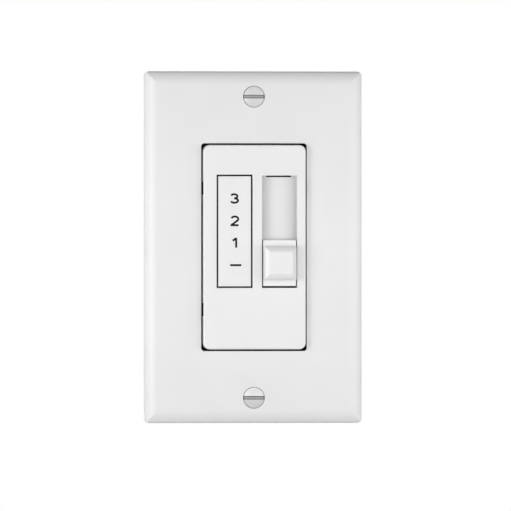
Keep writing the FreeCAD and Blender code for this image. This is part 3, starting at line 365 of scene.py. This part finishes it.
housingLook = {
    "dark": (0.022, 0.022, 0.024), "light": (0.040, 0.040, 0.042), "drift": 16 * mm, "stretch": (1, 1, 0.4),
    "skin": 0.30 * mm, "skinStrength": 0.35, "skinDepth": 0.03 * mm,
    "dust": 0.10, "dustTone": (0.16, 0.155, 0.15), "dustRange": (0.52, 0.70), "dustGain": 2.0,
    "roughness": 0.52, "roughVary": 0.18, "specular": 0.42,
}
carriageLook = dict(housingLook, skin=0.14 * mm, skinStrength=0.15, roughness=0.40, drift=6 * mm)
boardLook = dict(
    housingLook, dark=(0.30, 0.17, 0.07), light=(0.46, 0.30, 0.14), stretch=(0.3, 1, 1), drift=5 * mm,
    skin=0.18 * mm, dustTone=(0.5, 0.38, 0.22), roughness=0.45)
capacitorLook = dict(
    housingLook, dark=(0.25, 0.26, 0.28), light=(0.37, 0.38, 0.40), drift=8 * mm, skin=0.2 * mm,
    dustTone=(0.5, 0.5, 0.5), roughness=0.33, skinStrength=0.15)
resistorLook = dict(
    housingLook, dark=(0.50, 0.38, 0.25), light=(0.66, 0.54, 0.40), drift=2 * mm, skin=0.12 * mm,
    dustTone=(0.7, 0.6, 0.5), roughness=0.30, skinStrength=0.12)

finishes = {
    "wall_plate": whiteMoulding("satinWhitePlate", plateLook),
    "bezel": whiteMoulding("satinWhiteBezel", bezelLook),
    "scale_insert": whiteMoulding("mattWhiteInsert", insertLook),
    "slider_knob": whiteMoulding("satinWhiteKnob", knobLook),
    "slide_deck": whiteMoulding("mattWhiteDeck", deckLook),
    "wall_plate_screws": paintedSteel("whiteScrewPaint", screwPaintLook),
    "ground_screw": paintedSteel("greenScrewDye", groundGreenLook),
    "mounting_yoke": rolledMetal("zincYoke", yokeLook),
    "detent_spring": rolledMetal("springSteel", springLook),
    "wiper_contact": rolledMetal("springBronze", bronzeLook),
    "line_terminal": rolledMetal("terminalBrass", brassLook),
    "terminal_screws": rolledMetal("screwBrass", screwBrassLook),
    "contact_tracks": rolledMetal("copperFoil", copperLook),
    "housing": coarseMoulding("blackHousing", housingLook),
    "slide_carriage": coarseMoulding("blackCarriage", carriageLook),
    "contact_board": coarseMoulding("paperBoard", boardLook),
    "capacitor_large": coarseMoulding("pottedCase", capacitorLook),
    "bleed_resistors": coarseMoulding("resistorLacquer", resistorLook),
}
finishes["load_terminal"] = finishes["line_terminal"]
finishes["capacitor_small"] = finishes["capacitor_large"]
for name, piece in nodes.items():
    piece.material_slots[0].material = finishes[name]
print("finishes:", len(finishes))


# A Geometry Nodes tree with named inputs, and its input sockets as wires
def startTree(name, kinds):
    tree = bpy.data.node_groups.new(name, "GeometryNodeTree")
    tree.interface.new_socket("Geometry", in_out="INPUT", socket_type="NodeSocketGeometry")
    for label, kind in kinds.items():
        tree.interface.new_socket(label, in_out="INPUT", socket_type="NodeSocket" + kind)
    tree.interface.new_socket("Geometry", in_out="OUTPUT", socket_type="NodeSocketGeometry")
    entry = tree.nodes.new("NodeGroupInput")
    return tree, {socket.name: Wire(tree, socket) for socket in entry.outputs if socket.name}


# A closed section drawn along a path, with its ends filled
def swept(path, section):
    return path.node("GeometryNodeCurveToMesh", inputs={
        "Curve": path, "Profile Curve": section, "Fill Caps": True})


def endTree(shape, finish):
    real = shape.node("GeometryNodeRealizeInstances", inputs={0: shape})
    done = shape.node("GeometryNodeSetMaterial", inputs={"Geometry": real, "Material": finish})
    output = shape.tree.nodes.new("NodeGroupOutput")
    shape.tree.links.new(done.socket, output.inputs[0])


# Runs a tree over curve or mesh data and leaves a plain mesh, set in its place
def grow(name, data, tree, values, where):
    carrier = bpy.data.objects.new(name + "Source", data)
    scene.collection.objects.link(carrier)
    modifier = carrier.modifiers.new("grow", "NODES")
    modifier.node_group = tree
    for item in tree.interface.items_tree:
        if item.name in values:
            modifier[item.identifier] = values[item.name]
    solid = carrier.evaluated_get(bpy.context.evaluated_depsgraph_get())
    mesh = bpy.data.meshes.new_from_object(solid)
    mesh.name = name
    bpy.data.objects.remove(carrier)
    mesh.transform(where)
    made = bpy.data.objects.new(name, mesh)
    scene.collection.objects.link(made)
    return made


# A turn that takes the axes x, y and z to these directions, and then a shift to the origin's new place
def turned(xTo, yTo, zTo, origin):
    return Matrix.Translation(origin) @ Matrix((xTo, yTo, zTo)).transposed().to_4x4()


# Printed marks: strokes of ink on the insert, each a run of elliptic arcs and corners about its own middle
def arc(middle, across, up, start, end, stepAngle=12):
    steps = round(abs(end - start) / stepAngle)
    angles = [math.radians(start + (end - start) * step / steps) for step in range(steps + 1)]
    return [(middle[0] + across * math.cos(angle), middle[1] + up * math.sin(angle)) for angle in angles]


marks = {
    "film": 0.03, "stroke": 0.64, "ink": (0.006, 0.006, 0.006), "thinning": 4, "patch": 0.25 * mm,
    "specular": 0.15, "roughness": 0.45, "roughVary": 0.2, "relief": 0.2, "reliefDepth": 0.01 * mm,
    "glyphs": {
        "three": {"at": (-6.59, 15.69), "strokes": [
            arc((-0.06, 0.66), 1.02, 0.68, 160, -90), arc((0.0, -0.70), 1.17, 0.72, 90, -160)]},
        "two": {"at": (-6.48, 8.46), "strokes": [
            arc((0.04, 0.60), 1.09, 0.80, 165, -45) + [(-1.14, -1.40)], [(-1.36, -1.40), (1.20, -1.40)]]},
        "one": {"at": (-6.02, 1.46), "strokes": [
            [(-1.12, 0.62), (0.0, 1.40)], [(0.0, 1.58), (0.0, -1.64)]]},
        "off": {"at": (-6.16, -5.77), "strokes": [[(-1.82, 0.0), (1.82, 0.0)]]},
    },
}


def inkMaterial(look):
    material, wire, shader = newMaterial("markInk", Specular_IOR_Level=look["specular"])
    patch = grain(wire, look["patch"], detail=3.0)
    thin = tuple(look["thinning"] * level for level in look["ink"])
    plug(shader, "Base Color", mixColour(wire, patch, look["ink"], thin))
    plug(shader, "Roughness", look["roughness"] + look["roughVary"] * (patch - 0.5))
    plug(shader, "Normal", bumped(wire, patch, look["relief"], look["reliefDepth"]))
    return material


def ribbonTree():
    tree, given = startTree("inkRibbon", {"stroke": "Float", "film": "Float", "finish": "Material"})
    wire = given["Geometry"]
    path = wire.node("GeometryNodeSetCurveNormal", {"mode": "Z_UP"}, {"Curve": wire})
    section = wire.node("GeometryNodeCurvePrimitiveQuadrilateral", inputs={
        "Width": given["stroke"], "Height": given["film"]})
    endTree(swept(path, section), given["finish"])
    return tree


def printMarks(look):
    lines = bpy.data.curves.new("markLines", "CURVE")
    lines.dimensions = "3D"
    for glyph in look["glyphs"].values():
        across, up = glyph["at"]
        for stroke in glyph["strokes"]:
            spline = lines.splines.new("POLY")
            spline.points.add(len(stroke) - 1)
            for point, (x, y) in zip(spline.points, stroke):
                point.co = ((across + x) * mm, (up + y) * mm, 0, 1)
    where = turned((1, 0, 0), (0, 0, 1), (0, -1, 0), (0, (bezelFace - look["film"] / 2) * mm, 0))
    values = {"stroke": look["stroke"] * mm, "film": look["film"] * mm, "finish": inkMaterial(look)}
    ink = grow("scaleMarks", lines, ribbonTree(), values, where)
    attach(ink, "control")


printMarks(marks)
print("marks printed")

# Threads that show: on the plate screws behind the yoke, and under the heads of the terminal screws
threads = {
    "plateThread": {
        "finish": rolledMetal("zincThread", dict(zincLook, patch=1.5 * mm, stretch=(1, 1, 1))),
        "slot": "zinc_steel", "radius": 1.70, "ridge": 0.17, "pitch": 0.79, "length": 6.1,
        "spacing": 2 * screwRise, "from": (0, 0.35, 0), "along": "y"},
    "terminalThread": {
        "finish": finishes["terminal_screws"],
        "slot": "screw_brass", "radius": 1.70, "ridge": 0.14, "pitch": 0.55, "length": 1.1,
        "spacing": 13.6, "from": (17.65, 8.5, 0), "along": "x"},
}
threadSizes = ("radius", "ridge", "pitch", "length", "spacing")
threadForm = {"turnSteps": 20, "sides": 4, "screws": 2}

# Where x, y and z go for screws along y or x: the pair stands along z, and the ridge climbs along the screw
axes = {"y": ((0, 0, 1), (1, 0, 0), (0, 1, 0)), "x": ((0, 0, 1), (0, -1, 0), (1, 0, 0))}


# A ridge that climbs round the axis, repeated on the two screws
def threadTree(form):
    kinds = {size: "Float" for size in threadSizes}
    tree, given = startTree("threadRidge", {**kinds, "finish": "Material"})
    wire = given["Geometry"]
    helix = wire.node("GeometryNodeCurveSpiral", inputs={
        "Resolution": form["turnSteps"], "Rotations": wire.math("DIVIDE", given["length"], given["pitch"]),
        "Start Radius": given["radius"], "End Radius": given["radius"], "Height": given["length"]})
    path = wire.node("GeometryNodeSetCurveNormal", {"mode": "Z_UP"}, {"Curve": helix})
    section = wire.node("GeometryNodeCurvePrimitiveCircle", inputs={
        "Resolution": form["sides"], "Radius": given["ridge"]})
    first = wire.node("ShaderNodeCombineXYZ", inputs={"X": -0.5 * given["spacing"]})
    step = wire.node("ShaderNodeCombineXYZ", inputs={"X": given["spacing"]})
    screws = wire.node("GeometryNodeMeshLine", inputs={
        "Count": form["screws"], "Start Location": first, "Offset": step})
    pair = wire.node("GeometryNodeInstanceOnPoints", inputs={
        "Points": screws, "Instance": swept(path, section)})
    endTree(pair, given["finish"])
    return tree


def cutThreads(looks):
    tree = threadTree(threadForm)
    for name, look in looks.items():
        values = {size: look[size] * mm for size in threadSizes}
        values["finish"] = look["finish"]
        where = turned(*axes[look["along"]], Vector(look["from"]) * mm)
        ridge = grow(name, bpy.data.meshes.new(name + "Seed"), tree, values, where)
        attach(ridge, "control")


cutThreads(threads)
print("threads cut")


# The way out to an azimuth and an elevation in degrees, which are 0 and 0 in front of the plate, and the
# turn that looks back along it
def viewpoint(azimuth, elevation):
    turn, tilt = math.radians(azimuth), math.radians(elevation)
    away = Vector((math.sin(turn) * math.cos(tilt), -math.cos(turn) * math.cos(tilt), math.sin(tilt)))
    return away, (-away).to_track_quat("-Z", "Y")


def stand(name, data, location, facing):
    made = bpy.data.objects.new(name, data)
    made.location = location
    made.rotation_mode = "QUATERNION"
    made.rotation_quaternion = facing
    scene.collection.objects.link(made)
    return made


# Camera at the photo's place: a long lens, a little from the left
camera = {
    "from": (-6.2, 0.0), "distance": 4.0, "sensor": 36.0, "clip": 16.0,
    "framePixels": 511, "pixelSize": 0.3218 * mm, "plateMiddle": (252.5, 246.7),
}


def placeCamera(look):
    away, facing = viewpoint(*look["from"])
    right, up = facing @ Vector((1, 0, 0)), facing @ Vector((0, 1, 0))
    low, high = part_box("wall_plate")
    middle = (look["framePixels"] - 1) / 2
    sideways = (middle - look["plateMiddle"][0]) * look["pixelSize"]
    upwards = (look["plateMiddle"][1] - middle) * look["pixelSize"]
    aim = (low + high) / 2 + right * sideways + up * upwards
    data = bpy.data.cameras.new("photoLens")
    data.sensor_width = look["sensor"]
    data.lens = look["sensor"] * look["distance"] / (look["framePixels"] * look["pixelSize"])
    data.clip_end = look["clip"]
    scene.camera = stand("photoCamera", data, aim + away * look["distance"], facing)


placeCamera(camera)
print("camera placed")

# Softboxes: where each stands, by azimuth and elevation, its size across and up, and the light that it lays
# on a white card. One that is not mirrored stays out of the metal's reflections
frontBox = {"distance": 0.3, "size": (0.12, 0.16)}
wideBox = {"distance": 0.6, "size": (0.4, 0.25)}
lamps = {
    "bankLeft": {**frontBox, "from": (-88, 0), "level": 0.24},
    "keyLeft": {**frontBox, "from": (-45, 0), "level": 0.45},
    "fillLeft": {**frontBox, "from": (-22, 0), "level": 0.13},
    "fillRight": {**frontBox, "from": (22, 0), "level": 0.19},
    "keyRight": {**frontBox, "from": (45, 0), "level": 0.245},
    "bankRight": {**frontBox, "from": (68, 0), "level": 0.175},
    "overhead": {**wideBox, "from": (0, 50), "level": 0.08},
    "underneath": {**wideBox, "from": (0, -50), "level": 0.07},
    "back": {"distance": 1.0, "size": (1.6, 1.6), "from": (180, 8), "level": 0.90, "mirrored": False},
}


def softbox(name, look):
    away, facing = viewpoint(*look["from"])
    data = bpy.data.lights.new(name, "AREA")
    data.shape = "RECTANGLE"
    data.size, data.size_y = look["size"]
    data.energy = look["level"] * (math.pi * look["distance"]) ** 2
    lamp = stand(name, data, away * look["distance"], facing)
    lamp.visible_camera = False
    lamp.visible_glossy = look.get("mirrored", True)


for name, look in lamps.items():
    softbox(name, look)


# 1 for what the eye sees directly, in a reflection or through glass
def inView(wire):
    seen = wire.node("ShaderNodeLightPath", output="Is Camera Ray")
    glossy = Wire(wire.tree, seen.socket.node.outputs["Is Glossy Ray"])
    through = Wire(wire.tree, seen.socket.node.outputs["Is Transmission Ray"])
    return wire.math("MAXIMUM", wire.math("MAXIMUM", seen, glossy), through)


# World: white to the eye and in reflections, a soft even light on everything else
ambient = {"tone": (1.0, 1.0, 1.0), "level": 0.015}


def lightWorld(look):
    world = bpy.data.worlds.new("studio")
    world.use_nodes = True
    tree = world.node_tree
    tree.nodes.clear()
    wire = Wire(tree)
    white = inView(wire)
    strength = white + look["level"] * (1.0 - white)
    light = wire.node("ShaderNodeBackground", inputs={"Color": rgba(look["tone"]), "Strength": strength})
    output = tree.nodes.new("ShaderNodeOutputWorld")
    tree.links.new(light.socket, output.inputs["Surface"])
    scene.world = world


lightWorld(ambient)

# A pale floor well below the control, seen from above only. Its glow reaches the eye and reflections alone
floor = {
    "drop": 260 * mm, "reach": 1.2, "tone": (0.80, 0.80, 0.80), "glow": (0.64, 0.64, 0.64),
    "roughness": 0.7, "speck": 6 * mm, "speckTone": 0.97,
}


def layFloor(look):
    mesh = bpy.data.meshes.new("paleFloor")
    reach, height = look["reach"], -look["drop"]
    mesh.from_pydata([(-reach, -reach, height), (reach, -reach, height), (reach, reach, height),
                      (-reach, reach, height)], [], [(0, 1, 2, 3)])
    material, wire, shader = newMaterial("palePaper", Roughness=look["roughness"], Emission_Strength=1.0)
    speck = grain(wire, look["speck"], detail=3.0)
    darker = tuple(level * look["speckTone"] for level in look["tone"])
    plug(shader, "Base Color", mixColour(wire, speck, darker, look["tone"]))
    plug(shader, "Emission Color", mixColour(wire, 1.0 - inView(wire), look["glow"], (0, 0, 0)))
    under = wire.node("ShaderNodeNewGeometry", output="Backfacing")
    clear = wire.node("ShaderNodeBsdfTransparent")
    paper = Wire(wire.tree, shader.outputs[0])
    both = wire.node("ShaderNodeMixShader", inputs={0: under, 1: paper, 2: clear})
    output = next(node for node in wire.tree.nodes if node.type == "OUTPUT_MATERIAL")
    wire.tree.links.new(both.socket, output.inputs["Surface"])
    mesh.materials.append(material)
    sheet = bpy.data.objects.new("paleFloor", mesh)
    scene.collection.objects.link(sheet)


layFloor(floor)
print("stage and lamps set")
